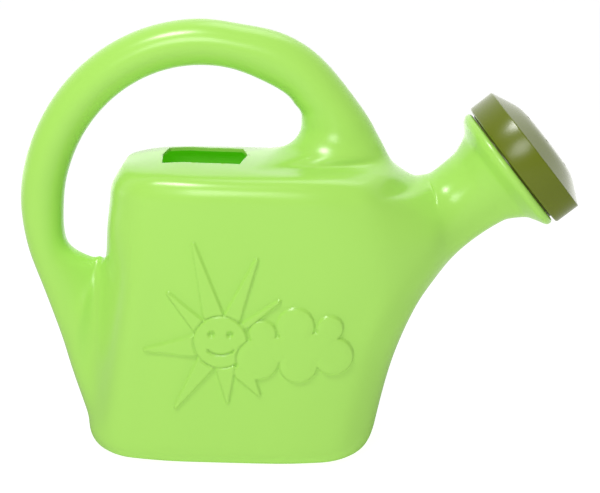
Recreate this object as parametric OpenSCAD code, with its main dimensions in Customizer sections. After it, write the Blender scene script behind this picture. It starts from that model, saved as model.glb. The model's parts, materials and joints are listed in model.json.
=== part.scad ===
// Child's watering can: one hollow blow-moulded body and a push-in rose.
// The parting plane of the moulding is Y = 0. The spout points to +X, the relief faces -Y and
// the can stands on Z = 0. X = 0 is midway between the handle's back and the rose's front.

/* [Tank] */
// Length of the tank at its base
tank_len = 157; // [134:1:188]
// Depth of the tank, front face to back face
tank_depth = 96; // [80:1:116]
// Height of the tank's crest above the surface it stands on
tank_h = 161; // [140:1:185]
// How far the handle side leans in towards the top
tank_lean = 17; // [0:1:22]
// How far the spout side swells out below the spout
tank_swell = 30; // [20:1:38]
// Wall thickness of the moulding
wall = 2; // [1.4:0.1:2.6]
// Rounding of the bottom edge
base_round = 12; // [6:1:18]
// Rounding of the top edge
top_round = 12; // [8:1:18]
// Extra rounding of the top edge at the handle end
end_round = 9; // [0:1:12]
// Rise of the crowned top from that rounding to the crest
crown_rise = 3; // [1:0.5:6]
// Height of the recess inside the standing ring
recess_h = 2.5; // [1:0.5:4]
// Distance from the tank's side to that recess
recess_margin = 20; // [16:1:28]

/* [Handle] */
// How far the middle of the grip stands out behind the tank's base
loop_out = 24.5; // [18:0.5:34]
// How far the loop's middle lies below the tank's crest
loop_drop = 35; // [20:1:45]
// Height of the loop's inside top above its middle
loop_h = 81.5; // [70:1:95]
// How far the loop's middle lies behind the tank's middle
loop_back = 16; // [0:1:30]
// Thickness of the grip at the top of the loop
grip_t = 24; // [20:0.5:28]
// Thickness of the grip at the back of the loop
grip_back_t = 21.5; // [18:0.5:26]
// Width of the grip, front to back
grip_w = 25; // [20:0.5:30]

/* [Fill hole] */
// Length of the fill hole along the top
hole_len = 45; // [36:1:52]
// Width of the fill hole across the top
hole_w = 41; // [30:1:48]
// How far the hole's middle lies behind the tank's middle
hole_back = 15; // [8:1:22]
// How far its back edge comes to a point
back_point = 1.6; // [0:0.2:4]
// How far its front edge comes to a point
front_point = 3.4; // [0:0.2:6]

/* [Spout] */
// Rise of the spout's axis at the mouth, degrees
spout_rise = 40; // [30:1:50]
// How far the middle of the mouth stands out past the tank's base
mouth_out = 69.5; // [58:0.5:84]
// How far the middle of the mouth lies below the tank's crest
mouth_drop = 3; // [-8:0.5:14]
// Outside diameter of the flange round the mouth
flange_d = 72.5; // [64:0.5:80]
// Thickness of the flange's lip
flange_t = 4.5; // [3:0.5:6]
// Width of the flange's face round the mouth's seat
lip_w = 2.65; // [2:0.05:4]
// Outside diameter of the neck at its narrowest
neck_d = 43; // [36:0.5:50]
// Distance from the mouth back to the neck's narrowest place
neck_back = 34; // [28:1:42]
// Distance from the mouth back to where the neck flares out
flare_back = 11; // [9:0.5:14]

/* [Rose] */
// How far the rose's band stands out past the flange, all round
rose_over = 1.5; // [0.5:0.1:3]
// Width of the rose's plain band
band_w = 14.5; // [10:0.5:20]
// Rise of the domed face in front of the band
dome_h = 7.6; // [4:0.2:11]
// Diameter of the flat in the middle of the face
flat_d = 34; // [24:1:44]
// Wall thickness of the rose
rose_wall = 1.8; // [1.4:0.1:2.4]
// Rounding of the band's edges
band_round = 1.2; // [0.6:0.1:1.6]
// Shadow gap between the band and the flange
rose_gap = 1.1; // [0.6:0.1:2]
// Depth of the rose's skirt inside the mouth
skirt_depth = 3.6; // [2.5:0.1:4.5]
// Gap all round between the skirt and the mouth's seat
skirt_clear = 0.4; // [0.3:0.1:0.6]
// Diameter of each sprinkling hole
spray_d = 2.4; // [1.6:0.1:3]
// Diameter of the ring of sprinkling holes
spray_ring_d = 39; // [30:1:46]
// Number of holes in that ring
spray_count = 7; // [5:1:10]

/* [Relief] */
// How far the sun and the cloud stand out of the front face
relief_h = 1; // [0.6:0.1:1.4]
// Middle of the sun behind the tank's middle
sun_back = 3; // [0:1:10]
// Height of the sun's middle
sun_z = 72; // [60:1:85]
// Radius of the sun's disc
sun_r = 14; // [11:0.5:17]
// Length of the sun's longest ray, from its middle
ray_len = 53; // [40:1:56]

/* [Hidden] */

LIME = [0.68, 0.9, 0.4];
OLIVE = [0.42, 0.47, 0.1];

RING_SIDES = 48;      // points round one section of the tank's outside
BORE_SIDES = 32;      // points round one section of its inside
TUBE_SIDES = 20;      // points round one section of the handle's outside
TUBE_BORE_SIDES = 14; // points round one section of its inside
NECK_SIDES = 40;      // points round one section of the spout
PLAN_POWER = 3.6;     // squareness of the tank in plan: 2 is an ellipse
STEPS = 2;            // sections between two given rows
OVERLAP = 5;          // how far a cutting shape runs past the face it opens

grip_half = grip_t / 2;
back_half = grip_back_t / 2;
loop_z = tank_h - loop_drop;
loop_half_x = tank_len / 2 + loop_out - loop_back;
loop_half_z = loop_h + grip_half;
mouth_x = tank_len / 2 + mouth_out;
mouth_z = tank_h - mouth_drop;
seat_d = flange_d - 2 * lip_w;       // inside of the mouth, where the skirt seats
skirt_d = seat_d - 2 * skirt_clear;
rose_d = flange_d + 2 * rose_over;
seat_depth = skirt_depth + rose_gap;
reach = rose_gap + band_w;

// The whole can is shifted so that X = 0 is midway along it.
x_back = -loop_back - loop_half_x - back_half;
x_front = mouth_x + (reach - band_round) * cos(spout_rise)
    + (rose_d / 2 - band_round) * sin(spout_rise) + band_round;
x_mid = (x_back + x_front) / 2;

// ---- curves and lofts ----

// Value at t between the second and the third of four neighbours.
function blend4(a, b, c, d, t) =
    0.5 * (2 * b + (c - a) * t + (2 * a - 5 * b + 4 * c - d) * t * t
    + (3 * b - a - 3 * c + d) * t * t * t);

// Rows smoothed into STEPS sections for each stretch between two given rows.
function smooth(rows, steps = STEPS) = let (last = len(rows) - 1) concat(
    [for (i = [0 : last - 1], k = [0 : steps - 1])
        blend4(rows[max(i - 1, 0)], rows[i], rows[i + 1], rows[min(i + 2, last)], k / steps)],
    [rows[last]]);

// One signed power, for the rounded corners of a superellipse.
function power(v, p) = sign(v) * pow(abs(v), p);

// A closed solid through a stack of rings with the same number of points.
module loft(rings) {
    sides = len(rings[0]);
    last = len(rings) - 1;
    polyhedron(
        points = [for (ring = rings, p = ring) p],
        faces = concat(
            [[for (k = [sides - 1 : -1 : 0]) k]],
            [for (i = [0 : last - 1], k = [0 : sides - 1]) let (n = (k + 1) % sides)
                [i * sides + k, i * sides + n, (i + 1) * sides + n, (i + 1) * sides + k]],
            [[for (k = [0 : sides - 1]) last * sides + k]]),
        convexity = 6);
}

// ---- tank ----

// Swell of the spout side at shares of the tank's height.
SWELL = smooth([[0, 0], [0.2, 0.14], [0.4, 0.43], [0.56, 0.78], [0.68, 0.93],
    [0.8, 0.8], [0.92, 0.36], [1, 0.1]], 6);

function left_x(z) = -tank_len / 2 + tank_lean * z / tank_h;
function right_x(z) = tank_len / 2 + tank_swell * lookup(z / tank_h, SWELL);

// Section of the tank at height z, drawn in by inset and grown by grow.
function tank_ring(z, inset, grow, sides, lift = 0, end_in = 0) = let (
    x0 = left_x(z) + inset + end_in - grow,
    x1 = right_x(z) - inset + grow,
    half_y = tank_depth / 2 - inset + grow,
    half_x = (x1 - x0) / 2)
    [for (k = [0 : sides - 1]) let (a = -360 * k / sides)
        [(x0 + x1) / 2 + half_x * power(cos(a), 2 / PLAN_POWER),
        half_y * power(sin(a), 2 / PLAN_POWER), z + lift]];

// The tank from its recess up to its crest, with every face moved out by grow.
function tank_rings(grow = 0, sides = RING_SIDES) = let (
    side_top = tank_h - crown_rise - top_round,
    crown_in = tank_depth / 2 - top_round)
    concat(
        [for (inset = [recess_margin + 6, recess_margin]) tank_ring(recess_h, inset, 0, sides, -grow)],
        [tank_ring(0, recess_margin - 4, 0, sides, -grow)],
        [for (a = [0 : 18 : 90]) tank_ring(base_round * (1 - cos(a)),
            base_round * (1 - sin(a)), grow * sin(a), sides, -grow * cos(a))],
        [for (t = [0.14 : 0.12 : 0.87])
            tank_ring(base_round + (side_top - base_round) * t, 0, grow, sides)],
        [for (a = [0 : 18 : 72]) tank_ring(side_top + top_round * sin(a), top_round * (1 - cos(a)),
            grow * cos(a), sides, grow * sin(a), end_round * (1 - cos(a)))],
        [for (t = [0 : 0.25 : 0.75]) tank_ring(tank_h - crown_rise * pow(1 - t, 2),
            top_round + crown_in * t, 0, sides, grow, end_round)]);

// ---- handle ----

// Rows of the handle's centre line: x, z, half thickness in the loop's plane, half width.
function loop_row(a, half, half_y) = [-loop_back + loop_half_x * cos(a),
    loop_z + loop_half_z * sin(a), half, half_y];

handle_rows = let (w = grip_w / 2, b = back_half, g = grip_half, foot = -tank_len / 2,
    leg_z = loop_z - 37) concat(
    [[foot + 8, 0.21 * leg_z, b - 2, 1.6 * w], [foot + 2.5, 0.45 * leg_z, b + 0.3, 1.9 * w],
    [foot - 2.7, 0.74 * leg_z, b + 2.7, 1.7 * w], [foot - 7, leg_z, b + 6, 1.35 * w],
    [foot - 13.5, loop_z - 25, b + 4.2, 1.1 * w], [foot - 21.5, loop_z - 14, b + 0.5, w]],
    [for (a = [177, 160, 140, 120, 100, 82]) loop_row(a, b + (g - b) * sin(a), w)],
    [loop_row(67.5, g + 1.3, w), loop_row(56, g + 1.3, w + 0.5), loop_row(46.7, g + 1.7, w + 1),
    loop_row(38, g + 4.5, w + 2.5)],
    [for (root = [[0.82, 10, 9, 8], [0.81, 0, 18, 17], [0.79, -10, 27, 25],
        [0.74, -25, 30, 29]])
        [-loop_back + loop_half_x * root[0], tank_h + root[1], g + root[2], w + root[3]]]);

// ---- spout ----

axis_x = cos(spout_rise);
axis_z = sin(spout_rise);

// A row of the spout on the mouth's axis, back along it from the mouth's face.
function mouth_row(back, half, off = 0) = [mouth_x - back * axis_x - off * axis_z,
    mouth_z - back * axis_z + off * axis_x, half, half];

// Rows of the spout's middle line: x, z, half height, half width.
spout_rows = let (n = neck_d / 2, side = tank_len / 2) concat(
    [[side - 22.5, tank_h - 56, n + 24, n + 19], [side - 2.5, tank_h - 49, n + 20, n + 16],
    [side + 13.5, tank_h - 38, n + 12, n + 10]],
    [mouth_row(neck_back + 16, n + 3.2, 4), mouth_row(neck_back + 4, n, 2.8),
    mouth_row(neck_back - 8, n - 0.2, 2.2), mouth_row(neck_back - 17, n + 1.8, 1.7)]);

// The trumpet between them: distance back from the mouth, outside radius, rise off the axis.
trumpet_rows = [[flare_back, neck_d / 2 + 5, 1.1], [flange_t + 3.6, neck_d / 2 + 8, 1.1]];

// The flange, as distance back from the mouth and outside radius.
flange_rows = let (f = flange_d / 2) [[flange_t + 1.2, f - 3], [flange_t - 0.6, f - 0.6],
    [flange_t - 1.6, f], [1, f], [0.3, f - 0.35], [0, f - 1]];

// Sections of a bent tube through its rows, drawn in by inset.
function tube_rings(rows, sides, inset) = let (last = len(rows) - 1) [for (i = [0 : last]) let (
    r = rows[i],
    ahead = rows[min(i + 1, last)],
    behind = rows[max(i - 1, 0)],
    run = norm([ahead[0] - behind[0], ahead[1] - behind[1]]),
    tx = (ahead[0] - behind[0]) / run,
    tz = (ahead[1] - behind[1]) / run)
    [for (k = [0 : sides - 1]) let (a = 360 * k / sides)
        [r[0] - tz * (r[2] - inset) * cos(a), (r[3] - inset) * sin(a),
        r[1] + tx * (r[2] - inset) * cos(a)]]];

// A round section on the mouth's axis.
function mouth_ring(back, radius, off = 0) = let (c = mouth_row(back, radius, off))
    [for (k = [0 : NECK_SIDES - 1]) let (a = 360 * k / NECK_SIDES)
        [c[0] - axis_z * radius * cos(a), radius * sin(a), c[1] + axis_x * radius * cos(a)]];

module spout_outside() {
    loft(concat(tube_rings(smooth(spout_rows), NECK_SIDES, 0),
        [for (row = trumpet_rows) mouth_ring(row[0], row[1], row[2])],
        [for (row = flange_rows) mouth_ring(row[0], row[1])]));
}

module spout_inside() {
    loft(concat(tube_rings(smooth(spout_rows), NECK_SIDES, wall),
        [for (row = trumpet_rows) mouth_ring(row[0], row[1] - wall, row[2])],
        [mouth_ring(seat_depth + 0.2, seat_d / 2 - wall, 0.5),
        mouth_ring(seat_depth + 0.1, seat_d / 2),
        mouth_ring(-OVERLAP, seat_d / 2)]));
}

// ---- relief ----

// Rays of the sun: direction in degrees and share of the longest ray.
RAYS = [[105, 1], [67, 0.91], [37, 0.72], [142, 0.71], [190, 0.76], [238, 0.83], [277, 0.64],
    [306, 0.68], [-18, 0.5]];
RAY_BASE = 21;        // half angle that a ray's foot covers on the disc
RAY_TIP = 1;          // radius of a ray's rounded tip

// Lobes of the cloud: x and z from the sun's middle, and radius.
LOBES = [[21.5, 5.2, 7], [38.4, 9.4, 10], [56.2, 8.4, 7.4], [58.4, -6.9, 10.3],
    [40.3, -11.6, 10], [19.4, -8.9, 11.1], [38, -2, 12]];

module sun_ray(direction, share) {
    hull() {
        for (side = [-1, 1]) rotate(direction + side * RAY_BASE)
            translate([sun_r * 0.97, 0]) circle(r = 0.3, $fn = 8);
        rotate(direction) translate([ray_len * share - RAY_TIP, 0]) circle(r = RAY_TIP, $fn = 16);
    }
}

// The sun and the cloud as flat shapes carried through the front face.
module relief_prism() {
    translate([-sun_back, 0, sun_z]) rotate([90, 0, 0])
        linear_extrude(height = tank_depth / 2 + OVERLAP) {
            circle(r = sun_r, $fn = 64);
            for (ray = RAYS) sun_ray(ray[0], ray[1]);
            for (lobe = LOBES) translate([lobe[0], lobe[1]]) circle(r = lobe[2], $fn = 48);
        }
}

// Eyes and smile, sunk back to the face behind the disc.
module sun_face() {
    translate([-sun_back, 0, sun_z]) rotate([90, 0, 0])
        linear_extrude(height = tank_depth / 2 + OVERLAP) {
            for (side = [-1, 1]) translate([side * 5 + 0.5, 5.2]) circle(r = 1.9, $fn = 24);
            for (a = [-140 : 10 : -40]) hull() for (b = [a, a + 10])
                rotate(b) translate([9, 0]) circle(r = 0.6, $fn = 10);
        }
}

// ---- pieces ----

// Six-sided opening in the crown, across the parting plane.
module fill_hole() {
    x0 = -hole_back - hole_len / 2;
    x1 = -hole_back + hole_len / 2;
    h = hole_w / 2;
    translate([0, 0, tank_h - top_round - crown_rise - wall])
        linear_extrude(height = top_round + crown_rise + wall + OVERLAP)
            polygon([[x0, 0], [x0 + back_point, h], [x1 - front_point, h], [x1, 0],
                [x1 - front_point, -h], [x0 + back_point, -h]]);
}

module can_body() {
    color(LIME) translate([-x_mid, 0, 0]) difference() {
        union() {
            loft(tank_rings());
            loft(tube_rings(smooth(handle_rows), TUBE_SIDES, 0));
            spout_outside();
            intersection() {
                loft(tank_rings(relief_h));
                difference() {
                    relief_prism();
                    sun_face();
                }
            }
        }
        loft(tank_rings(-wall, BORE_SIDES));
        loft(tube_rings(smooth(handle_rows), TUBE_BORE_SIDES, wall));
        spout_inside();
        fill_hole();
    }
}

module rose() {
    r = rose_d / 2;
    e = band_round;
    t = rose_wall;
    front = rose_gap + band_w;
    face = front + dome_h;
    color(OLIVE) translate([mouth_x - x_mid, 0, mouth_z]) rotate([0, 90 - spout_rise, 0])
        difference() {
            rotate_extrude($fn = 128) polygon(concat(
                [[0, face]], [[flat_d / 2 - 2, face], [flat_d / 2 + 1, face - 0.8]],
                [for (a = [60 : -15 : 0]) [r - e + e * cos(a), front - e + e * sin(a)]],
                [for (a = [0 : -30 : -90]) [r - e + e * cos(a), rose_gap + e + e * sin(a)]],
                [[skirt_d / 2, rose_gap], [skirt_d / 2, -skirt_depth + 0.6],
                [skirt_d / 2 - 0.6, -skirt_depth], [skirt_d / 2 - t, -skirt_depth],
                [skirt_d / 2 - t, rose_gap + t], [r - t, rose_gap + t + 2], [r - t, front - e],
                [flat_d / 2, face - t - 0.9], [flat_d / 2 - 2, face - t], [0, face - t]]));
            for (k = [0 : spray_count - 1]) rotate([0, 0, 360 * (k + 0.5) / spray_count])
                translate([spray_ring_d / 2, 0, front]) cylinder(d = spray_d, h = dome_h + OVERLAP);
            translate([0, 0, front]) cylinder(d = spray_d, h = dome_h + OVERLAP);
        }
}

can_body();
rose();
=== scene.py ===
"""A child's blow-moulded watering can: its finished meshes and materials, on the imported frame.

The can is two pieces, a hollow moulded body and a push-in rose. Design sizes are in
millimetres, with X = 0 at the middle of the tank's base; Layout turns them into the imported
frame's metres.
"""
import json
import logging
import math
from dataclasses import dataclass
from enum import Enum
from typing import Callable, Iterable, Sequence

import bmesh
import bpy
import numpy as np
from mathutils import Matrix, Vector


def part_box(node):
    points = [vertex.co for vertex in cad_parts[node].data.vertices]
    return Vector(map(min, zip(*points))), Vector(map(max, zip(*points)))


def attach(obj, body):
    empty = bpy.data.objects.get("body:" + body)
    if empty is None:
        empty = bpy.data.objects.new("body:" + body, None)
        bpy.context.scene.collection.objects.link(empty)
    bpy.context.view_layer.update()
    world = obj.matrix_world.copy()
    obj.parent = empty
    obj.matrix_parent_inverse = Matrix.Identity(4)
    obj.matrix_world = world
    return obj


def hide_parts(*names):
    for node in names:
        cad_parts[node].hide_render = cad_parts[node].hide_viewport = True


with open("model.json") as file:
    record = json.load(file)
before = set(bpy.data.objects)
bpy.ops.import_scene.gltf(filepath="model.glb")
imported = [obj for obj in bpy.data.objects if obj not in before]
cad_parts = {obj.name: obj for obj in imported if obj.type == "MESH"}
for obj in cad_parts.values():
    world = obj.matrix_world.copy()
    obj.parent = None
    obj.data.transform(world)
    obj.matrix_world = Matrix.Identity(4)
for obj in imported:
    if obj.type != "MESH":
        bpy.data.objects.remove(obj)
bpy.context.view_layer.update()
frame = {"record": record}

LOG = logging.getLogger("watering_can")
MM = 0.001
Pair = tuple[float, float]


class Part(Enum):
    """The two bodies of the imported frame."""

    CAN = "can"
    ROSE = "rose"


class Slot(Enum):
    """The record's material slots."""

    LIME = "lime_polyethylene"
    OLIVE = "olive_plastic"


# ---- places ----


@dataclass(frozen=True)
class Layout:
    """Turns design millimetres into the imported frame.

    Attributes:
        shift: packed X of the tank's middle, in metres.
        axis: unit direction out of the mouth, which the rose slides along.
        up: unit direction across the mouth towards its top.
        mouth: middle of the spout's mouth, x and z.
    """

    shift: float
    axis: Vector
    up: Vector
    mouth: Pair = (148.0, 158.0)

    @classmethod
    def from_frame(cls, loop_reach: float = 113.75) -> "Layout":
        """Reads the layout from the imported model.

        Args:
            loop_reach: distance from the tank's middle back to the outside of the loop.

        Returns:
            The layout.
        """
        axis = Vector(frame["record"]["behaviour"]["joints"][0]["axis"]).normalized()
        return cls(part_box("can_body")[0].x + loop_reach * MM, axis, Vector((-axis.z, 0.0, axis.x)))

    def place(self, x: float, y: float, z: float) -> Vector:
        """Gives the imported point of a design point."""
        return Vector((x * MM + self.shift, y * MM, z * MM))

    def at_mouth(self, ahead: float, radius: float, turn: float, rise: float = 0.0) -> Vector:
        """Gives a point round the mouth's axis.

        Args:
            ahead: distance out of the mouth's face, negative inside the spout.
            radius: distance from the axis.
            turn: angle from the top, towards the front of the can, in radians.
            rise: how far the circle's middle lies above the axis.

        Returns:
            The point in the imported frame, in metres.
        """
        middle = self.place(self.mouth[0], 0.0, self.mouth[1])
        across = self.up * (rise + radius * math.cos(turn)) - Vector((0, radius * math.sin(turn), 0))
        return middle + (self.axis * ahead + across) * MM


LAYOUT = Layout.from_frame()


# ---- mesh helpers ----


def finish_mesh(bm: bmesh.types.BMesh, name: str, part: Part, finish: "Finish") -> bpy.types.Object:
    """Makes a finished object from a bmesh and hangs it on its body.

    Args:
        bm: the geometry, freed here.
        name: name of the piece.
        part: the body that the piece rides on.
        finish: the finish that it is dressed in.

    Returns:
        The new object.
    """
    mesh = bpy.data.meshes.new(name)
    bm.to_mesh(mesh)
    bm.free()
    mesh.shade_smooth()
    piece = bpy.data.objects.new(name, mesh)
    bpy.context.scene.collection.objects.link(piece)
    mesh.materials.append(finish.material())
    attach(piece, part.value)
    LOG.info("%s: %d faces", name, len(mesh.polygons))
    return piece


def edges_between(loop: Sequence[bmesh.types.BMVert]) -> list[bmesh.types.BMEdge]:
    """Gives the edges that join a closed loop of vertices in order.

    Args:
        loop: vertices of the loop, in order.

    Returns:
        The edges, in the same order.
    """
    wanted = []
    for first, second in zip(loop, [*loop[1:], loop[0]]):
        wanted.append(next(e for e in first.link_edges if e.other_vert(first) is second))
    return wanted


def rise(depth: np.ndarray, width: float) -> np.ndarray:
    """Gives a soft step from 0 at depth 0 to 1 at a depth of width.

    Args:
        depth: depths, negative outside.
        width: depth at which the step is complete.

    Returns:
        The step at each depth.
    """
    share = np.clip(depth / width, 0.0, 1.0)
    return share * share * (3.0 - 2.0 * share)


@dataclass(frozen=True)
class Section:
    """One section of a tube whose middle line lies on the parting plane.

    Attributes:
        inner: x and z of the side that faces the loop's gap, or of the top of the spout.
        outer: x and z of the opposite side.
        half: half width, front to back, at the middle of the section.
        lean: how much wider the outer half is than the inner half, as a share.
    """

    inner: Pair
    outer: Pair
    half: float
    lean: float = 0.0

    def points(self, count: int) -> list[Vector]:
        """Gives the section's points, from the inner side round by the front face.

        Args:
            count: number of points.

        Returns:
            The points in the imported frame, in metres.
        """
        found = []
        for k in range(count):
            turn = 2 * math.pi * k / count
            share = (1 - math.cos(turn)) / 2
            width = self.half * (1 + self.lean * (2 * share - 1))
            x = self.inner[0] + (self.outer[0] - self.inner[0]) * share
            z = self.inner[1] + (self.outer[1] - self.inner[1]) * share
            found.append(LAYOUT.place(x, -width * math.sin(turn), z))
        return found


class Cage:
    """A coarse cage of quads, fitted so that its smooth surface runs through chosen points."""

    def __init__(self) -> None:
        """Starts with an empty cage."""
        self.bm = bmesh.new()
        self.aims: dict[bmesh.types.BMVert, Vector] = {}

    def aim(self, loop: Sequence[bmesh.types.BMVert], points: Sequence[Vector]) -> None:
        """Sets the points that the surface passes through at a row of vertices.

        Args:
            loop: vertices of the row.
            points: where the surface has to pass, one for each vertex.
        """
        for vert, point in zip(loop, points):
            vert.co = point
            self.aims[vert] = point.copy()

    def grow(self, loop: Sequence[bmesh.types.BMVert], points: Sequence[Vector]) -> list[bmesh.types.BMVert]:
        """Extrudes an open loop of the cage to a new row of points.

        Args:
            loop: the boundary loop, in order.
            points: where each of its vertices goes.

        Returns:
            The new boundary loop, in the same order.
        """
        made = bmesh.ops.extrude_edge_only(self.bm, edges=edges_between(loop))["geom"]
        new = {item for item in made if isinstance(item, bmesh.types.BMVert)}
        grown = [next(e.other_vert(v) for e in v.link_edges if e.other_vert(v) in new) for v in loop]
        self.aim(grown, points)
        return grown

    def open(self, inside: Callable[[bmesh.types.BMFace], bool]) -> None:
        """Takes out the faces that a branch of the tube grows from."""
        faces = [f for f in self.bm.faces if inside(f)]
        bmesh.ops.delete(self.bm, geom=faces, context="FACES")

    def smooth_mesh(self, levels: int, rounds: int = 8) -> bpy.types.Mesh:
        """Fits the cage to its aims and gives its subdivided surface.

        Args:
            levels: how many times each quad is divided.
            rounds: how many times the cage is corrected.

        Returns:
            A new mesh, which belongs to the caller.
        """
        bmesh.ops.recalc_face_normals(self.bm, faces=self.bm.faces)
        aims = np.array([self.aims[v] for v in self.bm.verts])
        mesh = bpy.data.meshes.new("cage")
        self.bm.to_mesh(mesh)
        self.bm.free()
        holder = bpy.data.objects.new("cage", mesh)
        bpy.context.scene.collection.objects.link(holder)
        subdivide = holder.modifiers.new("smooth", "SUBSURF")
        subdivide.use_limit_surface = True
        cage = aims.copy()
        for _ in range(rounds):
            subdivide.levels = subdivide.render_levels = 1
            mesh.vertices.foreach_set("co", cage.ravel())
            mesh.update()
            cage += aims - vertex_points(evaluated_copy(holder))[: len(aims)]
        mesh.vertices.foreach_set("co", cage.ravel())
        mesh.update()
        subdivide.levels = subdivide.render_levels = levels
        result = evaluated_copy(holder)
        bpy.data.objects.remove(holder)
        return result


def evaluated_copy(holder: bpy.types.Object) -> bpy.types.Mesh:
    """Gives a copy of an object's mesh with its modifiers applied.

    Args:
        holder: object whose modifiers are applied.

    Returns:
        A new mesh, which belongs to the caller.
    """
    bpy.context.view_layer.update()
    graph = bpy.context.evaluated_depsgraph_get()
    return bpy.data.meshes.new_from_object(holder.evaluated_get(graph))


def vertex_points(mesh: bpy.types.Mesh) -> np.ndarray:
    """Gives a mesh's points as rows of x, y and z, and drops the mesh.

    Args:
        mesh: mesh to read, removed here.

    Returns:
        The points, in metres.
    """
    flat = np.empty(len(mesh.vertices) * 3, dtype=np.float64)
    mesh.vertices.foreach_get("co", flat)
    bpy.data.meshes.remove(mesh)
    return flat.reshape(-1, 3)


# ---- finishes ----


class Finish:
    """A finish: what a slot's material is made of."""

    slot: Slot

    def material(self) -> bpy.types.Material:
        """Gives the finish's material, made on its first use."""
        found = bpy.data.materials.get(self.slot.value)
        if found is None:
            found = bpy.data.materials.new(self.slot.value)
            found.use_nodes = True
            self.dress(found.node_tree)
        return found

    def dress(self, tree: bpy.types.NodeTree) -> None:
        """Fills the material's node tree."""
        raise NotImplementedError


class Nodes:
    """Short ways to add and join shader nodes."""

    def __init__(self, tree: bpy.types.NodeTree) -> None:
        """Starts from a new material's own two nodes.

        Args:
            tree: node tree of a new material.
        """
        self.tree = tree
        self.shader = tree.nodes["Principled BSDF"]
        self.place = tree.nodes.new("ShaderNodeTexCoord").outputs["Object"]

    def noise(self, scale: float, detail: float = 2.0) -> bpy.types.NodeSocket:
        """Adds a noise of so many cells a metre, on object coordinates.

        Args:
            scale: cells a metre.
            detail: finer layers on top.

        Returns:
            The noise, about 0.3 to 0.7.
        """
        node = self.tree.nodes.new("ShaderNodeTexNoise")
        node.inputs["Scale"].default_value = scale
        node.inputs["Detail"].default_value = detail
        self.tree.links.new(self.place, node.inputs["Vector"])
        return node.outputs["Fac"]

    def span(self, source: bpy.types.NodeSocket, low: float, high: float) -> bpy.types.NodeSocket:
        """Spreads a noise over a range of values.

        Args:
            source: a noise.
            low: value where the noise is 0.3.
            high: value where it is 0.7.

        Returns:
            The spread value.
        """
        node = self.tree.nodes.new("ShaderNodeMapRange")
        node.inputs["From Min"].default_value = 0.3
        node.inputs["From Max"].default_value = 0.7
        node.inputs["To Min"].default_value = low
        node.inputs["To Max"].default_value = high
        self.tree.links.new(source, node.inputs["Value"])
        return node.outputs["Result"]

    def blend(self, share: bpy.types.NodeSocket, low: Sequence[float],
              high: Sequence[float]) -> bpy.types.NodeSocket:
        """Mixes two colours by a share.

        Args:
            share: share of the second colour.
            low: first colour.
            high: second colour.

        Returns:
            The mixed colour.
        """
        node = self.tree.nodes.new("ShaderNodeMix")
        node.data_type = "RGBA"
        node.inputs["A"].default_value = (*low, 1.0)
        node.inputs["B"].default_value = (*high, 1.0)
        self.tree.links.new(share, node.inputs["Factor"])
        return node.outputs["Result"]

    def bump(self, height: bpy.types.NodeSocket, distance: float, strength: float,
             under: bpy.types.NodeSocket | None = None) -> bpy.types.NodeSocket:
        """Adds a bump.

        Args:
            height: the height, from 0 to 1.
            distance: the height that 1 stands for, in metres.
            strength: how much of the bump shows.
            under: the normal of another bump that this one lies on.

        Returns:
            The bumped normal.
        """
        node = self.tree.nodes.new("ShaderNodeBump")
        node.inputs["Distance"].default_value = distance
        node.inputs["Strength"].default_value = strength
        self.tree.links.new(height, node.inputs["Height"])
        if under is not None:
            self.tree.links.new(under, node.inputs["Normal"])
        return node.outputs["Normal"]

    def join(self, source: bpy.types.NodeSocket, socket: str) -> None:
        """Joins a value to one of the shader's sockets."""
        self.tree.links.new(source, self.shader.inputs[socket])

    def fix(self, **values: float | tuple[float, ...]) -> None:
        """Sets the shader's own sockets, named with underscores for spaces."""
        for name, value in values.items():
            self.shader.inputs[name.replace("_", " ")].default_value = value


@dataclass(frozen=True)
class LimePolyethylene(Finish):
    """Satin blow-moulded polyethylene with a fine orange peel.

    Attributes:
        slot: the material slot.
        deep: darker colour of the slow change.
        pale: lighter colour of it.
        roughness: least and most roughness.
        peel_scale: cells a metre of the orange peel.
        flow_scale: cells a metre of the slow change of colour.
    """

    slot: Slot = Slot.LIME
    deep: tuple[float, float, float] = (0.40, 0.77, 0.115)
    pale: tuple[float, float, float] = (0.45, 0.81, 0.15)
    roughness: Pair = (0.30, 0.38)
    peel_scale: float = 1500.0
    flow_scale: float = 35.0

    def dress(self, tree: bpy.types.NodeTree) -> None:
        """Fills the material's node tree.

        Args:
            tree: node tree of the material.
        """
        nodes = Nodes(tree)
        flow = nodes.noise(self.flow_scale, 3.0)
        nodes.join(nodes.blend(nodes.span(flow, 0.0, 1.0), self.deep, self.pale), "Base Color")
        nodes.join(nodes.span(nodes.noise(400.0), *self.roughness), "Roughness")
        waves = nodes.bump(nodes.noise(120.0, 1.0), 0.0004, 0.25)
        nodes.join(nodes.bump(nodes.noise(self.peel_scale, 1.0), 0.00008, 0.35, waves), "Normal")
        nodes.fix(IOR=1.5, Specular_IOR_Level=0.35)


@dataclass(frozen=True)
class PaintedGlowLime(LimePolyethylene):
    """The inside of the moulding, with a painted glow: an emission that stands in for the light that comes
    through its thin wall.

    Attributes:
        glow: colour of the painted glow.
        strength: strength of the painted glow.
    """

    glow: tuple[float, float, float] = (0.05, 0.26, 0.002)
    strength: float = 0.4

    def material(self) -> bpy.types.Material:
        """Gives the finish's material, made on its first use."""
        found = bpy.data.materials.new(self.slot.value + "_inside")
        found.use_nodes = True
        self.dress(found.node_tree)
        shader = found.node_tree.nodes["Principled BSDF"]
        # Painted glow: the inside gives off light of its own, standing in for light coming through the thin
        # wall.
        shader.inputs["Emission Color"].default_value = (*self.glow, 1.0)
        shader.inputs["Emission Strength"].default_value = self.strength
        return found


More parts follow.
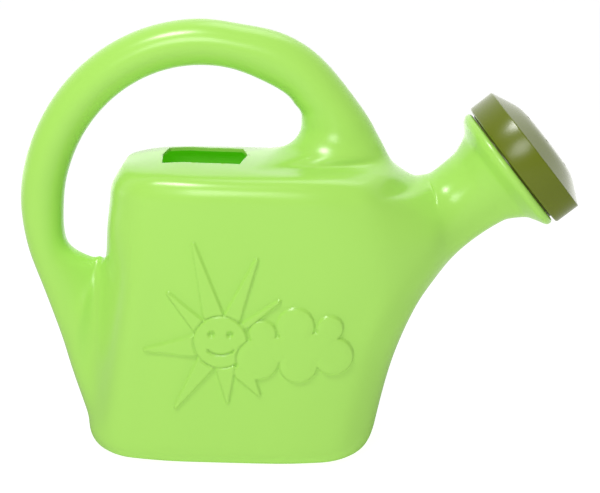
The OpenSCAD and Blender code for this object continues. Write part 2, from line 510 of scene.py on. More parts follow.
@dataclass(frozen=True)
class OlivePlastic(Finish):
    """Glossy injection-moulded plastic, dark olive, that light enters a little way.

    Attributes:
        slot: the material slot.
        deep: darker colour.
        pale: lighter colour.
    """

    slot: Slot = Slot.OLIVE
    deep: tuple[float, float, float] = (0.125, 0.185, 0.002)
    pale: tuple[float, float, float] = (0.155, 0.22, 0.004)

    def dress(self, tree: bpy.types.NodeTree) -> None:
        """Fills the material's node tree.

        Args:
            tree: node tree of the material.
        """
        nodes = Nodes(tree)
        nodes.join(nodes.blend(nodes.span(nodes.noise(60.0), 0.0, 1.0), self.deep, self.pale), "Base Color")
        nodes.join(nodes.span(nodes.noise(300.0), 0.12, 0.2), "Roughness")
        nodes.join(nodes.bump(nodes.noise(90.0, 1.0), 0.0002, 0.2), "Normal")
        nodes.fix(Subsurface_Weight=0.1, Subsurface_Scale=0.001, IOR=1.48)
        nodes.shader.inputs["Subsurface Radius"].default_value = (1.0, 1.0, 0.2)


LIME = LimePolyethylene()
# The inside's finish, with a painted glow standing in for light through the wall.
LIME_INSIDE_PAINTED_GLOW = PaintedGlowLime()
OLIVE = OlivePlastic()


# ---- the moulded body ----


@dataclass(frozen=True)
class TankRow:
    """One row round the tank.

    Attributes:
        z: height.
        left: x of the handle side.
        right: x of the spout side.
        half: half depth.
    """

    z: float
    left: float
    right: float
    half: float


@dataclass
class CanBody:
    """The hollow body: tank, looped handle and spout in one moulding.

    Attributes:
        power: squareness of the tank in plan.
        columns: shares of the half length where the front's columns stand.
        rows: the tank's rows, from the edge of the crown down to the recess.
        crest: height of the crown's middle.
        wall: thickness of the moulding.
        hole: x and y of the fill hole's corners.
        root_half: half width of the handle's root on the crown.
        loop_middle: x and z of the middle of the handle's loop.
        loop_half: half length and half height of the loop's middle line.
        grip_half: half thickness of the grip, at the back of the loop and at its top.
        grip_width: half width of the grip.
    """

    power: float = 3.6
    columns: tuple[float, ...] = (0.65, 0.44, 0.22, 0.0, -0.22, -0.44, -0.65)
    rows: tuple[TankRow, ...] = (
        TankRow(158.0, -52.0, 78.0, 36.0),
        TankRow(154.5, -58.6, 83.5, 44.5),
        TankRow(147.0, -62.9, 90.5, 47.9),
        TankRow(138.0, -64.0, 97.1, 48.0),
        TankRow(122.0, -65.7, 104.6, 48.0),
        TankRow(103.0, -67.7, 105.2, 48.0),
        TankRow(85.0, -69.6, 100.0, 48.0),
        TankRow(63.0, -71.9, 91.0, 48.0),
        TankRow(42.0, -74.1, 85.1, 48.0),
        TankRow(22.0, -76.2, 81.0, 48.0),
        TankRow(12.0, -76.4, 78.8, 48.0),
        TankRow(3.5, -73.0, 74.2, 44.5),
        TankRow(0.4, -66.5, 66.7, 36.0),
        TankRow(0.4, -62.0, 62.0, 31.5),
        TankRow(2.5, -58.0, 58.0, 28.0),
        TankRow(2.5, -52.0, 52.0, 22.0),
    )
    crest: float = 161.0
    wall: float = 2.0
    hole: tuple[Pair, ...] = (
        (-37.5, 0.0), (-35.9, 20.5), (4.1, 20.5), (7.5, 0.0), (4.1, -20.5), (-35.9, -20.5),
    )
    root_half: float = 25.0
    loop_middle: Pair = (-16.0, 126.0)
    loop_half: Pair = (87.0, 94.0)
    grip_half: Pair = (11.5, 12.0)
    grip_width: float = 12.5

    def plan(self) -> list[Pair]:
        """Gives the 24 points of a row as shares of its half length and half depth."""
        shares = (0.981, 0.825, *self.columns, -0.825, -0.981)
        front = [(s, -((1 - abs(s) ** self.power) ** (1 / self.power))) for s in shares]
        back = [(x, -y) for x, y in reversed(front)]
        return [(1.0, 0.0), *front, (-1.0, 0.0), *back]

    def row_points(self, row: TankRow) -> list[Vector]:
        """Gives the surface points of one row round the tank.

        Args:
            row: the row.

        Returns:
            Its 24 points, in metres.
        """
        middle = (row.left + row.right) / 2
        half = (row.right - row.left) / 2
        return [LAYOUT.place(middle + half * x, row.half * y, row.z) for x, y in self.plan()]

    def crown_height(self, x: float, y: float) -> float:
        """Gives the crown's height over a place on the tank.

        Args:
            x: place along the can.
            y: place across it.

        Returns:
            The height in millimetres.
        """
        end = max(0.0, -30.0 - x) / 22.0
        return self.crest - 2.3 * end * end - 3.0 * (y / 37.0) ** 2

    def crown(self, cage: Cage) -> list[list[bmesh.types.BMVert]]:
        """Lays the crown's grid.

        Args:
            cage: the cage that it starts.

        Returns:
            Its vertices by column, from the handle end, and in each from the front.
        """
        bmesh.ops.create_grid(cage.bm, x_segments=8, y_segments=4, size=1.0)
        verts = sorted(cage.bm.verts, key=lambda v: (round(v.co.x, 3), round(v.co.y, 3)))
        columns = [verts[i * 5 : i * 5 + 5] for i in range(9)]
        edge = self.row_points(self.rows[0])
        for vert, point in zip(self.rim(columns), edge):
            cage.aim([vert], [point])
        for i in range(1, 8):
            x = (edge[10 - i].x - LAYOUT.shift) / MM
            row = min(self.root_half, 17.0 + 2.2 * i)
            for j, y in ((1, -row), (2, 0.0), (3, row)):
                cage.aim([columns[i][j]], [LAYOUT.place(x, y, self.crown_height(x, y))])
        return columns

    @staticmethod
    def rim(columns: list[list[bmesh.types.BMVert]]) -> list[bmesh.types.BMVert]:
        """Gives the crown's outer loop in the order of a row of the tank.

        Args:
            columns: the crown's vertices.

        Returns:
            The 24 vertices of its edge.
        """
        right = columns[8]
        left = columns[0]
        front = [column[0] for column in columns[7:0:-1]]
        back = [column[4] for column in columns[1:8]]
        return [right[2], right[1], right[0], *front, left[0], left[1], left[2], left[3], left[4],
                *back, right[4], right[3]]

    def sides(self, cage: Cage, rim: list[bmesh.types.BMVert]) -> list[list[bmesh.types.BMVert]]:
        """Grows the tank's sides and bottom down from the crown's edge.

        Args:
            cage: the cage.
            rim: the crown's outer loop.

        Returns:
            The loops of the tank, from the top down.
        """
        loops = [rim]
        for row in self.rows[1:]:
            loops.append(cage.grow(loops[-1], self.row_points(row)))
        bmesh.ops.contextual_create(cage.bm, geom=edges_between(loops[-1]))
        return loops

    def blend_saddle(self, cage: Cage, loops: list[list[bmesh.types.BMVert]]) -> None:
        """Moves the tank's points where the handle, the spout and the crown meet.

        Args:
            cage: the cage.
            loops: the loops of the tank.
        """
        middle = ((86.0, 158.0), (91.0, 154.2), (97.5, 151.6))
        beside = ((76.0, 24.5, 158.2), (83.0, 24.5, 154.0), (90.0, 23.5, 147.5))
        for loop, (x, z), (bx, by, bz) in zip(loops, middle, beside):
            cage.aim([loop[0]], [LAYOUT.place(x, 0.0, z)])
            cage.aim([loop[1], loop[23]], [LAYOUT.place(bx, -by, bz), LAYOUT.place(bx, by, bz)])

    def loop_sections(self) -> list[Section]:
        """Gives the handle's sections, from its root on the crown round to the tank's side."""
        root = [
            Section((24.0, 164.6), (82.5, 162.5), 22.0),
            Section((31.0, 168.5), (79.0, 169.0), 18.5),
            Section((35.0, 174.5), (75.5, 175.0), 16.0),
            Section((35.6, 180.5), (71.8, 181.5), 14.8),
            Section((34.8, 185.2), (65.8, 189.8), 13.8),
            Section((31.6, 189.0), (57.2, 200.6), 13.2),
            Section((26.7, 194.3), (42.5, 215.7), 12.8),
            Section((13.8, 201.1), (23.6, 225.9), 12.6),
        ]
        arc = []
        for turn in range(78, 177, 11):
            a = math.radians(turn)
            x = self.loop_middle[0] + self.loop_half[0] * math.cos(a)
            z = self.loop_middle[1] + self.loop_half[1] * math.sin(a)
            out = Vector((math.cos(a) / self.loop_half[0], math.sin(a) / self.loop_half[1])).normalized()
            half = self.grip_half[0] + (self.grip_half[1] - self.grip_half[0]) * math.sin(a)
            inner = (x - out.x * half, z - out.y * half)
            outer = (x + out.x * half, z + out.y * half)
            arc.append(Section(inner, outer, self.grip_width))
        leg = [
            Section((-91.0, 131.5), (-113.7, 130.5), 12.4),
            Section((-90.2, 112.5), (-110.4, 108.0), 12.3),
            Section((-82.5, 104.6), (-103.6, 88.0), 12.2, 0.12),
            Section((-75.0, 102.0), (-93.2, 58.0), 12.6, 0.25),
            Section((-71.3, 102.6), (-87.8, 40.0), 14.2, 0.38),
        ]
        return root + arc + leg

    def handle(self, cage: Cage, columns: list[list[bmesh.types.BMVert]],
               loops: list[list[bmesh.types.BMVert]]) -> None:
        """Opens both roots of the handle and runs the tube between them.

        Args:
            cage: the cage.
            columns: the crown's vertices.
            loops: the loops of the tank.
        """
        near = [columns[4][2], columns[4][1], *[columns[i][1] for i in range(5, 8)]]
        near += [columns[8][1], columns[8][2], columns[8][3], *[columns[i][3] for i in (7, 6, 5, 4)]]
        inside = {vert for column in columns[4:] for vert in column[1:4]}
        cage.open(lambda face: all(v in inside for v in face.verts))
        side = loops[5:10]
        far = [side[0][12], *[loop[11] for loop in side], side[4][12], *[loop[13] for loop in reversed(side)]]
        patch = {loop[j] for loop in side for j in (11, 12, 13)}
        for loop, y in zip(side, (13.5, 15.0, 17.5, 20.0, 21.5)):
            for j, half in ((11, -y), (13, y)):
                cage.aim([loop[j]], [Vector((loop[j].co.x, half * MM, loop[j].co.z))])
        cage.aim([side[4][12]], [LAYOUT.place(-81.6, 0.0, 22.0)])
        cage.aim([side[0][12]], [LAYOUT.place(-68.3, 0.0, 103.0)])
        cage.open(lambda face: all(v in patch for v in face.verts))
        loop = near
        for section in self.loop_sections():
            loop = cage.grow(loop, section.points(12))
        last = cage.grow(loop, [v.co.copy() for v in far])
        bmesh.ops.weld_verts(cage.bm, targetmap=dict(zip(last, far)))
        for vert in last:
            cage.aims.pop(vert, None)

    def spout(self, cage: Cage, loops: list[list[bmesh.types.BMVert]]) -> None:
        """Opens the tank's side and runs the spout out to its mouth and back inside.

        Args:
            cage: the cage.
            loops: the loops of the tank.
        """
        side = loops[2:7]
        across = (22, 23, 0, 1, 2)
        patch = {loop[j] for loop in side for j in across}
        root = [side[0][0], side[0][1], side[0][2], *[loop[2] for loop in side[1:4]]]
        root += [side[4][2], side[4][1], side[4][0], side[4][23], side[4][22]]
        root += [*[loop[22] for loop in reversed(side[1:4])], side[0][22], side[0][23]]
        cage.open(lambda face: all(v in patch for v in face.verts))
        loop = root
        for section in (
            Section((101.5, 151.9), (109.0, 95.5), 31.0),
            Section((104.0, 152.6), (120.0, 109.5), 24.5),
            Section((107.5, 154.9), (134.0, 121.8), 21.5),
        ):
            loop = cage.grow(loop, section.points(16))
        for back, radius, lift in (
            (22.0, 22.0, 2.0), (17.0, 23.3, 1.7), (11.0, 26.5, 1.2), (8.1, 29.5, 1.1),
            (5.7, 33.3, 0.9), (4.5, 35.0, 0.4), (3.3, 36.0, 0.1), (2.1, 36.25, 0.0),
            (1.0, 36.05, 0.0), (0.3, 35.5, 0.0), (0.0, 34.9, 0.0), (0.0, 34.2, 0.0),
            (0.3, 33.7, 0.0), (1.0, 33.6, 0.0), (4.4, 33.6, 0.0), (4.9, 33.1, 0.0),
            (5.2, 32.0, 0.6), (8.4, 27.4, 1.0), (11.5, 24.5, 1.2), (17.5, 21.3, 1.7), (24.0, 20.0, 2.0),
        ):
            turns = [2 * math.pi * k / 16 for k in range(16)]
            loop = cage.grow(loop, [LAYOUT.at_mouth(-back, radius, turn, lift) for turn in turns])

    def build(self) -> bpy.types.Mesh:
        """Builds the body's smooth outer surface, with the fill hole still closed."""
        cage = Cage()
        columns = self.crown(cage)
        loops = self.sides(cage, self.rim(columns))
        self.blend_saddle(cage, loops)
        self.handle(cage, columns, loops)
        self.spout(cage, loops)
        return cage.smooth_mesh(levels=3)

    def cut_hole(self, bm: bmesh.types.BMesh) -> list[bmesh.types.BMEdge]:
        """Cuts the six-sided fill hole through the crown.

        Args:
            bm: the outside or the inside of the moulding.

        Returns:
            The edges round the hole.
        """
        corners = [LAYOUT.place(x, y, self.crest) for x, y in self.hole]
        middle = sum(corners, Vector()) / len(corners)
        reach = max((corner - middle).length for corner in corners) + 4 * MM
        floor = (self.crest - 9.0) * MM

        def near(face: bmesh.types.BMFace) -> bool:
            """Says whether a face of the crown lies near the hole."""
            centre = face.calc_center_median()
            level = floor < centre.z < (self.crest + 1) * MM
            return level and (centre.xy - middle.xy).length < reach

        def within(face: bmesh.types.BMFace) -> bool:
            """Says whether a face lies inside every wall of the hole."""
            return all((face.calc_center_median() - co).dot(no) < 0 for co, no in walls)

        walls = []
        for first, second in zip(corners, [*corners[1:], corners[0]]):
            along = (second - first).normalized()
            out = Vector((along.y, -along.x, 0.0))
            if out.dot(first - middle) < 0:
                out.negate()
            walls.append((first, out))
            faces = [f for f in bm.faces if near(f)]
            geometry = {*faces, *(e for f in faces for e in f.edges), *(v for f in faces for v in f.verts)}
            bmesh.ops.bisect_plane(bm, geom=list(geometry), dist=1e-7, plane_co=first, plane_no=out)
        inside = [f for f in bm.faces if near(f) and within(f)]
        bmesh.ops.delete(bm, geom=inside, context="FACES")
        return [e for e in bm.edges if e.is_boundary and all(
            v.co.z > floor and (v.co.xy - middle.xy).length < reach for v in e.verts)]

    def skin(self, mesh: bpy.types.Mesh, panel: Callable[[Vector], bool]) -> bpy.types.Object:
        """Makes the outside, with the rim of the fill hole turned down.

        Args:
            mesh: the smooth outer surface.
            panel: says whether a face's middle belongs to the relief's panel.

        Returns:
            The outside as an object.
        """
        bm = bmesh.new()
        bm.from_mesh(mesh)
        rim = self.cut_hole(bm)
        made = bmesh.ops.extrude_edge_only(bm, edges=rim)["geom"]
        lip = [v for v in made if isinstance(v, bmesh.types.BMVert)]
        bmesh.ops.translate(bm, verts=lip, vec=(0.0, 0.0, -self.wall * MM))
        bmesh.ops.bevel(bm, geom=rim, offset=0.45 * MM, segments=3, affect="EDGES", profile=0.5, material=-1)
        faces = [f for f in bm.faces if panel(f.calc_center_median())]
        bmesh.ops.delete(bm, geom=faces, context="FACES")
        return finish_mesh(bm, "can_outside", Part.CAN, LIME)

    def lining(self, mesh: bpy.types.Mesh) -> bpy.types.Object:
        """Makes the inside of the moulding, one wall in from the outside.

        Args:
            mesh: the smooth outer surface.

        Returns:
            The inside as an object.
        """
        bm = bmesh.new()
        bm.from_mesh(mesh)
        throat = LAYOUT.at_mouth(-24.05, 0.0, 0.0)
        whole = [*bm.verts, *bm.edges, *bm.faces]
        bmesh.ops.bisect_plane(bm, geom=whole, plane_co=throat, plane_no=LAYOUT.axis, clear_outer=True)
        bm.normal_update()
        for vert, normal in [(v, v.normal.copy()) for v in bm.verts]:
            vert.co -= normal * self.wall * MM
        self.cut_hole(bm)
        bmesh.ops.reverse_faces(bm, faces=bm.faces)
        # The inside wears the finish with the painted glow.
        return finish_mesh(bm, "can_inside", Part.CAN, LIME_INSIDE_PAINTED_GLOW)


# ---- the relief ----


@dataclass
class Relief:
    """The sun and the cloud raised from the front face.

    Attributes:
        centre: x and z of the sun's middle.
        height: how far the relief stands out.
        disc: radius of the sun's disc.
        rays: for each ray its tip and the two ends of its foot, from the sun's middle.
        lobes: x, z and radius of each lobe of the cloud, with the one over the disc last.
        fills: x, z and radius of the discs that level the cloud's middle.
        field: left, right, bottom and top of the panel that holds the relief.
    """

    centre: Pair = (-3.0, 72.0)
    height: float = 1.4
    disc: float = 14.0
    rays: tuple[tuple[Pair, Pair, Pair], ...] = (
        ((-14.6, 52.2), (-9.3, 13.6), (0.9, 16.4)),
        ((18.2, 45.0), (2.2, 15.6), (10.4, 12.9)),
        ((30.4, 23.0), (11.7, 11.3), (13.8, 7.7)),
        ((-28.0, 25.3), (-10.1, 12.4), (-14.0, 5.6)),
        ((-40.3, -6.7), (-14.4, 3.1), (-12.2, -8.1)),
        ((-23.6, -37.4), (-11.5, -8.9), (-3.5, -15.0)),
        ((4.0, -33.7), (-2.6, -14.9), (7.6, -13.4)),
        ((20.9, -29.3), (7.9, -13.8), (16.6, -19.1)),
    )
    lobes: tuple[tuple[float, float, float], ...] = (
        (21.5, 5.2, 7.1), (38.4, 9.4, 9.8), (56.2, 8.4, 6.9), (58.4, -6.9, 10.3),
        (40.3, -11.6, 9.9), (19.4, -8.9, 11.1),
    )
    fills: tuple[tuple[float, float, float], ...] = (
        (39.0, -2.0, 10.5), (29.5, -3.5, 7.0), (49.0, -2.5, 8.5), (54.0, 1.0, 6.0), (24.0, -2.0, 6.0),
    )
    field: tuple[float, float, float, float] = (-50.0, 76.0, 26.0, 132.0)

    def holds(self, point: Vector) -> bool:
        """Says whether a point lies on the front face, within the panel.

        Args:
            point: the point, in metres.

        Returns:
            True if it does.
        """
        x = (point.x - LAYOUT.shift) / MM
        z = point.z / MM
        left, right, bottom, top = self.field
        return point.y < -0.035 and left < x < right and bottom < z < top

    @staticmethod
    def in_ray(x: np.ndarray, z: np.ndarray, ray: tuple[Pair, Pair, Pair], tip: float = 1.0) -> np.ndarray:
        """Gives the depth inside a tapered ray with a round tip, negative outside it.

        Args:
            x: places along the can, from the sun's middle.
            z: heights, from the sun's middle.
            ray: the tip and the two ends of the foot.
            tip: radius of the tip.

        Returns:
            Depths in millimetres.
        """
        end, left, right = (np.array(point) for point in ray)
        foot = (left + right) / 2
        wide = float(np.hypot(*(right - left))) / 2
        run = end - foot
        length = float(np.hypot(*run))
        end = end - run / length * tip
        run = end - foot
        share = np.clip(((x - foot[0]) * run[0] + (z - foot[1]) * run[1]) / float(run @ run), 0.0, 1.0)
        away = np.hypot(x - foot[0] - share * run[0], z - foot[1] - share * run[1])
        return wide + (tip - wide) * share - away

    def face(self, x: np.ndarray, z: np.ndarray) -> np.ndarray:
        """Gives how deep the eyes and the smile are sunk into the disc.

        Args:
            x: places along the can, from the sun's middle.
            z: heights, from the sun's middle.

        Returns:
            Depths, from 0 to 1.
        """
        sunk = np.zeros_like(x)
        for eye_x in (-4.8, 4.8):
            sunk = np.maximum(sunk, rise(2.1 - np.hypot(x - eye_x, z - 4.4), 0.9))
        smile = np.abs(np.hypot(x, z - 4.4) - 11.2)
        between = rise(7.4 - np.abs(x), 1.0) * (z < 0)
        return np.maximum(sunk, rise(0.95 - smile, 0.8) * between)

    def heights(self, x: np.ndarray, z: np.ndarray) -> np.ndarray:
        """Gives how far the relief stands out at each place.

        Args:
            x: places along the can, from the sun's middle.
            z: heights, from the sun's middle.

        Returns:
            Heights of the relief in millimetres.
        """
        raised = np.zeros_like(x)
        for ray in self.rays:
            raised = np.maximum(raised, 0.9 * rise(self.in_ray(x, z, ray) + 0.2, 0.7))
        cloud = np.zeros_like(x)
        for lobe_x, lobe_z, radius in (*self.lobes, *self.fills):
            depth = radius - np.hypot(x - lobe_x, z - lobe_z)
            cloud = np.maximum(cloud, 0.8 * rise(depth + 0.2, 0.7) + 0.25 * rise(depth, 4.0))
        near_x, near_z, near_radius = self.lobes[-1]
        outside = np.hypot(x - near_x, z - near_z) - near_radius
        depth = self.disc - np.hypot(x, z)
        disc = rise(depth + 0.2, 0.9) + 0.2 * rise(depth, 8.0) - 0.9 * self.face(x, z)
        disc *= 0.35 + 0.65 * rise(outside, 0.9)
        edge = 0.35 + 0.65 * rise(np.abs(depth), 0.9)
        around = np.maximum(raised * edge, cloud)
        return self.height * np.where((depth > 0) & (outside > 0), np.maximum(disc, 0.0), around)

    def build(self, mesh: bpy.types.Mesh) -> bpy.types.Object:
        """Raises the sun and the cloud from their panel of the body's surface.

        Args:
            mesh: the body's smooth surface.

        Returns:
            The relief as an object.
        """
        bm = bmesh.new()
        bm.from_mesh(mesh)
        rest = [f for f in bm.faces if not self.holds(f.calc_center_median())]
        bmesh.ops.delete(bm, geom=rest, context="FACES")
        bmesh.ops.subdivide_edges(bm, edges=bm.edges, cuts=3, use_grid_fill=True)
        inner = [v for v in bm.verts if not v.is_boundary]
        for _ in range(12):
            bmesh.ops.smooth_vert(bm, verts=inner, factor=0.5,
                                  use_axis_x=True, use_axis_y=True, use_axis_z=True)
        bm.normal_update()
        places = np.array([v.co for v in bm.verts]) / MM
        x = places[:, 0] - LAYOUT.shift / MM - self.centre[0]
        z = places[:, 2] - self.centre[1]
        for vert, height, normal in zip(bm.verts, self.heights(x, z), [v.normal.copy() for v in bm.verts]):
            vert.co += normal * float(height) * MM
        return finish_mesh(bm, "sun_and_cloud", Part.CAN, LIME)


# ---- the rose ----


@dataclass
class Rose:
    """The push-in rose: a band, a low domed face with sprinkling holes, and a skirt.

    Attributes:
        radius: outside radius of the band.
        gap: distance from the mouth's face to the band.
        band: width of the band.
        dome: rise of the face in front of the band.
        slope: rise that the cone round the face's crown would reach at the middle.
        flat: radius of the flat inside the face.
        edge: rounding of the band's edges.
        wall: wall thickness.
        skirt: outside radius of the skirt.
        depth: how far the skirt reaches into the mouth.
        holes: number of holes in the ring.
        ring: radius of the ring of holes.
        bore: radius of a hole.
        steps: divisions round the rose.
    """

    radius: float = 37.75
    gap: float = 1.1
    band: float = 14.5
    dome: float = 7.9
    slope: float = 17.5
    flat: float = 17.0
    edge: float = 1.2
    wall: float = 1.8
    skirt: float = 33.2
    depth: float = 3.6
    holes: int = 7
    ring: float = 19.5
    bore: float = 1.2
    steps: int = 128

    def arc(self, radius: float, ahead: float, size: float, turns: Iterable[float]) -> list[Pair]:
        """Gives points round a small corner, as radius and distance ahead of the mouth.

        Args:
            radius: distance of the corner's middle from the axis.
            ahead: its distance ahead of the mouth.
            size: the corner's radius.
            turns: angles of the points, in degrees.

        Returns:
            The points.
        """
        angles = [math.radians(turn) for turn in turns]
        return [(radius + size * math.cos(a), ahead + size * math.sin(a)) for a in angles]

    def face_height(self, share: float) -> float:
        """Gives the height of the face at a share of its radius: a cone round a low crown.

        Args:
            share: share of the radius, from 0 to 1.

        Returns:
            The height ahead of the band.
        """
        crown = self.dome - 1.5 * share * share
        cone = self.slope * (1 - share)
        return (crown ** -8 + max(cone, 1e-3) ** -8) ** (-1 / 8)

    def outline(self) -> list[Pair]:
        """Gives the outline from the middle of the face, round the band, and back inside."""
        front = self.gap + self.band
        face = front + self.dome
        e = self.edge
        t = self.wall
        rim = self.radius - 0.5
        outside = [(r, front + self.face_height(r / rim)) for r in np.linspace(0.0, rim - 0.4, 28)]
        outside += self.arc(rim - 0.1, front - 0.6, 0.6, (70, 45, 20, 0))
        outside += self.arc(self.radius - e, self.gap + e, e, (0, -22, -45, -68, -90))
        inner = self.skirt - t
        inside = [
            (self.skirt + 0.5, self.gap), (self.skirt, self.gap - 0.5), (self.skirt, 0.6 - self.depth),
            (self.skirt - 0.6, -self.depth), (inner + 0.3, -self.depth), (inner, 0.3 - self.depth),
            (inner, self.gap + t), (self.radius - t, self.gap + t + 2.0), (self.radius - t, front - e),
            (self.flat, face - t - 1.5), (self.flat - 3.0, face - t - 0.6), (0.0, face - t - 0.6),
        ]
        return outside + inside

    def build(self) -> bpy.types.Object:
        """Spins the rose and drills its holes."""
        bm = bmesh.new()
        rows = [bm.verts.new(LAYOUT.at_mouth(ahead, radius, 0.0)) for radius, ahead in self.outline()]
        edges = [bm.edges.new(pair) for pair in zip(rows, rows[1:])]
        middle = LAYOUT.at_mouth(0.0, 0.0, 0.0)
        bmesh.ops.spin(bm, geom=[*rows, *edges], cent=middle, axis=LAYOUT.axis, angle=2 * math.pi,
                       steps=self.steps, use_merge=True)
        bmesh.ops.remove_doubles(bm, verts=bm.verts, dist=1e-6)
        bmesh.ops.recalc_face_normals(bm, faces=bm.faces)
        piece = finish_mesh(bm, "rose_shell", Part.ROSE, OLIVE)
        self.drill(piece)
        return piece

    def drill(self, piece: bpy.types.Object) -> None:
        """Cuts the sprinkling holes through the face.

        Args:
            piece: the rose.
        """
        bm = bmesh.new()
        turns = [2 * math.pi * (k + 0.5) / self.holes for k in range(self.holes)]
        places = [LAYOUT.at_mouth(0.0, 0.0, 0.0)] + [LAYOUT.at_mouth(0.0, self.ring, turn) for turn in turns]
        tilt = LAYOUT.axis.to_track_quat("Z", "Y").to_matrix().to_4x4()
        for place in places:
            centre = place + LAYOUT.axis * (self.gap + self.band + self.dome) * MM
            bmesh.ops.create_cone(bm, cap_ends=True, segments=24, radius1=self.bore * MM,
                                  radius2=self.bore * MM, depth=16 * MM,
                                  matrix=Matrix.Translation(centre) @ tilt)
        mesh = bpy.data.meshes.new("drills")
        bm.to_mesh(mesh)
        bm.free()
        drills = bpy.data.objects.new("drills", mesh)
        bpy.context.scene.collection.objects.link(drills)
        cut = piece.modifiers.new("holes", "BOOLEAN")
        cut.object = drills
        cut.solver = "EXACT"
        drilled = evaluated_copy(piece)
        piece.modifiers.clear()
        piece.data = drilled
        drilled.set_sharp_from_angle(angle=math.radians(32))
        bpy.data.objects.remove(drills)


# ---- the studio ----


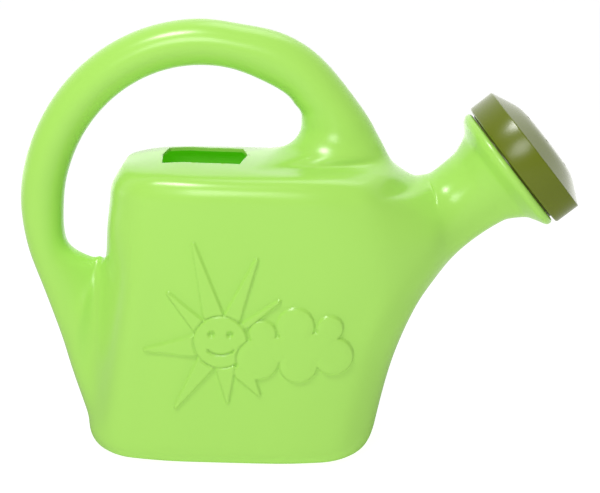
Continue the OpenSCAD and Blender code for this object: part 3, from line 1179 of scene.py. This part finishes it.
@dataclass
class Studio:
    """A pale floor, soft light and the camera.

    Attributes:
        lens: focal length in millimetres.
        target: x and z that the camera looks at, on the parting plane, in packed millimetres.
        distance: distance from the camera to that point.
        rise: angle of the camera above the horizon, in degrees.
        roll: how far the camera is turned about its own axis, in degrees.
        ambient: strength of the surround as a light.
        backdrop: strength of the surround in a reflection, in front of the can and behind it.
        floor_glow: strength of the floor as a light and as it is seen.
    """

    lens: float = 84.0
    target: Pair = (1.7, 111.0)
    distance: float = 758.1
    rise: float = 15.0
    roll: float = 1.5
    ambient: float = 0.34
    backdrop: Pair = (0.02, 1.8)
    floor_glow: Pair = (0.85, 0.92)

    def camera(self) -> None:
        """Sets the camera."""
        data = bpy.data.cameras.new("camera")
        data.lens = self.lens
        data.sensor_width = 36.0
        data.clip_start = 0.01
        item = bpy.data.objects.new("camera", data)
        bpy.context.scene.collection.objects.link(item)
        rise_angle = math.radians(self.rise)
        back = Vector((0.0, -math.cos(rise_angle), math.sin(rise_angle)))
        place = Vector((self.target[0], 0.0, self.target[1])) * MM + back * self.distance * MM
        turn = back.to_track_quat("Z", "Y").to_matrix().to_4x4()
        roll = Matrix.Rotation(math.radians(self.roll), 4, "Z")
        item.matrix_world = Matrix.Translation(place) @ turn @ roll
        bpy.context.scene.camera = item

    def lamp(self, name: str, place: Sequence[float], size: float, power: float) -> None:
        """Adds a soft square light that faces the can.

        Args:
            name: name of the light.
            place: where it hangs, in metres.
            size: its side, in metres.
            power: its power in watts.
        """
        data = bpy.data.lights.new(name, "AREA")
        data.size = size
        data.energy = power
        item = bpy.data.objects.new(name, data)
        bpy.context.scene.collection.objects.link(item)
        towards = Vector(place) - Vector((0.0, 0.0, 0.11))
        item.matrix_world = Matrix.Translation(place) @ towards.to_track_quat("Z", "Y").to_matrix().to_4x4()

    @staticmethod
    def step(tree: bpy.types.NodeTree, source: bpy.types.NodeSocket, low: float, high: float,
             span: Pair = (0.0, 1.0)) -> bpy.types.NodeSocket:
        """Turns a value into a strength.

        Args:
            tree: the node tree that the node is added to.
            source: the value.
            low: strength at the start of the span.
            high: strength at its end.
            span: the values between which the strength changes.

        Returns:
            The strength.
        """
        node = tree.nodes.new("ShaderNodeMapRange")
        node.inputs["From Min"].default_value = span[0]
        node.inputs["From Max"].default_value = span[1]
        node.inputs["To Min"].default_value = low
        node.inputs["To Max"].default_value = high
        tree.links.new(source, node.inputs["Value"])
        return node.outputs["Result"]

    def floor(self) -> None:
        """Lays the floor, white and without shine."""
        bm = bmesh.new()
        bmesh.ops.create_grid(bm, x_segments=1, y_segments=1, size=6.0)
        mesh = bpy.data.meshes.new("floor")
        bm.to_mesh(mesh)
        bm.free()
        item = bpy.data.objects.new("floor", mesh)
        bpy.context.scene.collection.objects.link(item)
        pale = bpy.data.materials.new("floor")
        pale.use_nodes = True
        shader = pale.node_tree.nodes["Principled BSDF"]
        shader.inputs["Base Color"].default_value = (0.3, 0.3, 0.3, 1.0)
        shader.inputs["Roughness"].default_value = 0.9
        shader.inputs["Specular IOR Level"].default_value = 0.0
        shader.inputs["Emission Color"].default_value = (1.0, 1.0, 1.0, 1.0)
        tree = pale.node_tree
        direct = tree.nodes.new("ShaderNodeLightPath")
        place = tree.nodes.new("ShaderNodeSeparateXYZ")
        tree.links.new(tree.nodes.new("ShaderNodeTexCoord").outputs["Object"], place.inputs["Vector"])
        seen = self.step(tree, direct.outputs["Is Diffuse Ray"], self.floor_glow[1], self.floor_glow[0])
        mirrored = self.step(tree, place.outputs["Y"], *self.backdrop, span=(0.0, 0.8))
        glow = self.step(tree, direct.outputs["Is Glossy Ray"], 0.0, 0.0)
        tree.links.new(seen, glow.node.inputs["To Min"])
        tree.links.new(mirrored, glow.node.inputs["To Max"])
        tree.links.new(glow, shader.inputs["Emission Strength"])
        mesh.materials.append(pale)

    def sky(self) -> bpy.types.World:
        """Makes the white surround, softer as a light than it looks."""
        world = bpy.data.worlds.new("studio")
        world.use_nodes = True
        tree = world.node_tree
        seen = tree.nodes["Background"]
        seen.inputs["Color"].default_value = (1.0, 1.0, 1.0, 1.0)
        light = tree.nodes.new("ShaderNodeBackground")
        direct = tree.nodes.new("ShaderNodeLightPath")
        where = tree.nodes.new("ShaderNodeSeparateXYZ")
        tree.links.new(tree.nodes.new("ShaderNodeTexCoord").outputs["Generated"], where.inputs["Vector"])
        mirrored = self.step(tree, where.outputs["Y"], *self.backdrop, span=(-0.2, 0.7))
        power = self.step(tree, direct.outputs["Is Glossy Ray"], self.ambient, 0.0)
        tree.links.new(mirrored, power.node.inputs["To Max"])
        tree.links.new(power, light.inputs["Strength"])
        mix = tree.nodes.new("ShaderNodeMixShader")
        tree.links.new(direct.outputs["Is Camera Ray"], mix.inputs["Fac"])
        tree.links.new(light.outputs["Background"], mix.inputs[1])
        tree.links.new(seen.outputs["Background"], mix.inputs[2])
        tree.links.new(mix.outputs["Shader"], tree.nodes["World Output"].inputs["Surface"])
        return world

    def build(self) -> None:
        """Sets the camera, the floor and the light."""
        self.camera()
        self.floor()
        bpy.context.scene.world = self.sky()
        bpy.context.scene.view_settings.view_transform = "Standard"
        self.lamp("key", (-0.3, -0.42, 0.95), 0.2, 4.0)
        self.lamp("overhead", (0.1, 0.25, 0.9), 0.4, 1.0)
        self.lamp("front", (-0.2, -1.0, 0.62), 0.35, 2.8)


def main() -> None:
    """Builds the studio, the moulded body, its relief and the rose."""
    logging.basicConfig(level=logging.INFO)
    Studio().build()
    body = CanBody()
    relief = Relief()
    mesh = body.build()
    skin = body.skin(mesh, relief.holds)
    body.lining(mesh)
    relief.build(mesh)
    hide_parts("can_body")
    rose = Rose().build()
    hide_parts("rose")


if __name__ == "__main__":
    main()
